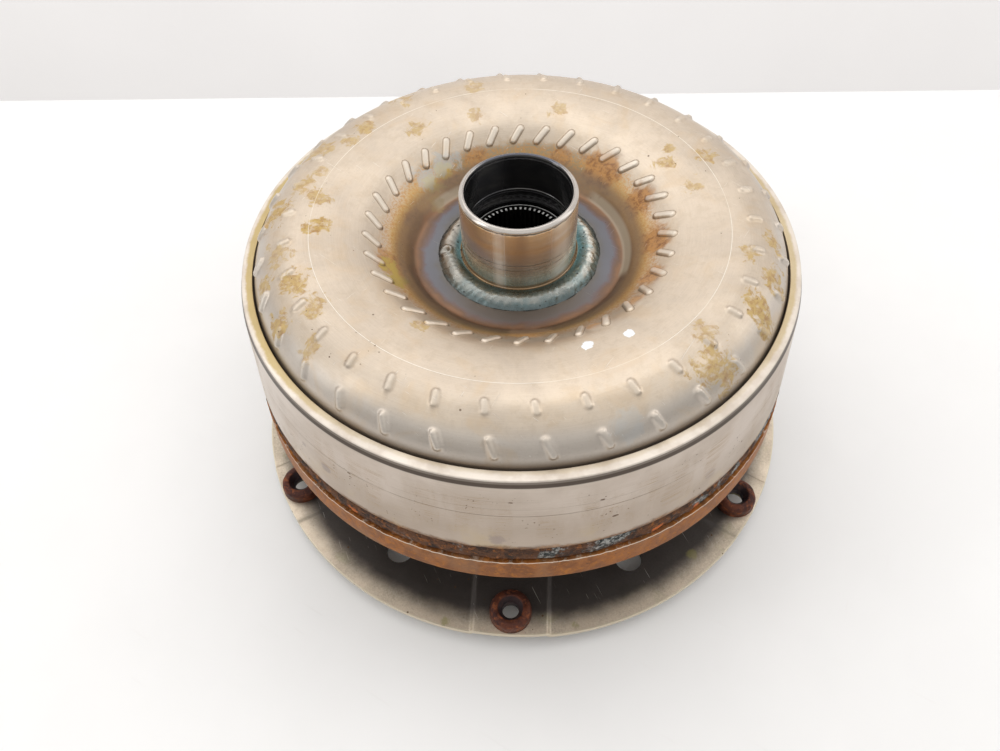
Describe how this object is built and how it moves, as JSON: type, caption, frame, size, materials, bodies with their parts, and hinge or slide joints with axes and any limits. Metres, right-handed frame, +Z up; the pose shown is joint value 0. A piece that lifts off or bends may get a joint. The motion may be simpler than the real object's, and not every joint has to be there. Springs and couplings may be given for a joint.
{
  "type": "torque converter",
  "caption": "Welded fluid torque converter with a lock-up clutch, spring damper and stator, bolted to a drive plate with weld nuts",
  "frame": {"origin": "on the axis, at the level of the crank pilot's tip, which is the lowest point", "axes": "+Z up along the axis from the crank pilot to the pump hub; -Y is the front, where one weld nut lies"},
  "size_m": [0.302, 0.302, 0.174],
  "materials": {
    "zinc_plate": "dull, speckled zinc-plated sheet",
    "rusty_nut": "rough surface rust",
    "plain_steel": "as sawn, oily",
    "black_bolt": "black oxide",
    "machined_steel": "turned",
    "rusty_rim": "brown surface rust on pressed steel",
    "weld_band": "gritty rust over a rough weld",
    "drum_grey": "bare grey steel with stains and pits",
    "dome_steel": "satin pressed steel, stained with light rust",
    "hub_bronze_grey": "ground and polished, oil film",
    "weld_bead": "wire-brushed weld bead",
    "oily_steel": "dark, wet with oil",
    "bearing_steel": "ground and polished",
    "pressed_steel": "pressed sheet, oily",
    "cast_aluminium": "as cast, machined faces",
    "spring_steel": "oil-tempered wire",
    "friction_paper": "fibre friction lining",
    "seal_ring": "filled polymer seal ring"
  },
  "bodies": {
    "housing": {"flexplate": "zinc_plate", "flexplate_nuts": "rusty_nut", "mounting_blocks": "plain_steel", "flexplate_bolts": "black_bolt", "crank_pilot": "machined_steel", "front_cover": "rusty_rim", "cover_weld": "weld_band", "drum_ring": "drum_grey", "impeller_shell": "dome_steel", "pump_hub": "hub_bronze_grey", "hub_weld": "weld_bead", "impeller_core": "pressed_steel", "impeller_blades": "pressed_steel", "rear_bearing_upper_race": "bearing_steel", "front_bearing_lower_race": "bearing_steel"},
    "turbine": {"turbine_shell": "pressed_steel", "turbine_core": "pressed_steel", "turbine_blades": "pressed_steel", "turbine_hub": "machined_steel", "turbine_rivets": "pressed_steel", "damper_driven_plate": "pressed_steel", "driven_plate_rivets": "pressed_steel", "piston_seal": "seal_ring", "middle_bearing_lower_race": "bearing_steel", "front_bearing_upper_race": "bearing_steel"},
    "damper_input": {"damper_front_plate": "pressed_steel", "damper_rear_plate": "pressed_steel", "damper_spacers": "pressed_steel", "damper_outer_springs": "spring_steel", "damper_inner_springs": "spring_steel"},
    "piston": {"lockup_piston": "pressed_steel", "friction_lining": "friction_paper"},
    "stator": {"stator_wheel": "cast_aluminium", "clutch_cam": "bearing_steel", "clutch_rollers": "bearing_steel", "roller_springs": "spring_steel", "clutch_front_plate": "pressed_steel", "clutch_rear_plate": "pressed_steel", "middle_bearing_upper_race": "bearing_steel", "rear_bearing_lower_race": "bearing_steel"},
    "inner_race": {"clutch_inner_race": "oily_steel"},
    "front_cage": {"front_bearing_cage": "pressed_steel", "front_bearing_needles": "bearing_steel"},
    "middle_cage": {"middle_bearing_cage": "pressed_steel", "middle_bearing_needles": "bearing_steel"},
    "rear_cage": {"rear_bearing_cage": "pressed_steel", "rear_bearing_needles": "bearing_steel"}
  },
  "joints": [
    {"name": "turbine_spin", "type": "hinge", "parent": "housing", "child": "turbine", "pos_m": [0, 0, 0.07], "axis": [0, 0, 1], "continuous": true},
    {"name": "damper_twist", "type": "hinge", "parent": "turbine", "child": "damper_input", "pos_m": [0, 0, 0.07], "axis": [0, 0, 1], "range_deg": [-8, 8], "deforming": ["damper_outer_springs", "damper_inner_springs"]},
    {"name": "piston_slide", "type": "slide", "parent": "damper_input", "child": "piston", "axis": [0, 0, -1], "range_m": [0, 0.001]},
    {"name": "inner_race_spin", "type": "hinge", "parent": "housing", "child": "inner_race", "pos_m": [0, 0, 0.118], "axis": [0, 0, 1], "continuous": true},
    {"name": "stator_spin", "type": "hinge", "parent": "inner_race", "child": "stator", "pos_m": [0, 0, 0.118], "axis": [0, 0, 1], "continuous": true},
    {"name": "front_cage_spin", "type": "hinge", "parent": "housing", "child": "front_cage", "pos_m": [0, 0, 0.03], "axis": [0, 0, 1], "continuous": true},
    {"name": "middle_cage_spin", "type": "hinge", "parent": "turbine", "child": "middle_cage", "pos_m": [0, 0, 0.107], "axis": [0, 0, 1], "continuous": true},
    {"name": "rear_cage_spin", "type": "hinge", "parent": "housing", "child": "rear_cage", "pos_m": [0, 0, 0.129], "axis": [0, 0, 1], "continuous": true}
  ],
  "couplings": [
    {"joint": "front_cage_spin", "follows": "turbine_spin", "ratio": 0.5},
    {"joint": "rear_cage_spin", "follows": "stator_spin", "ratio": 0.5}
  ]
}
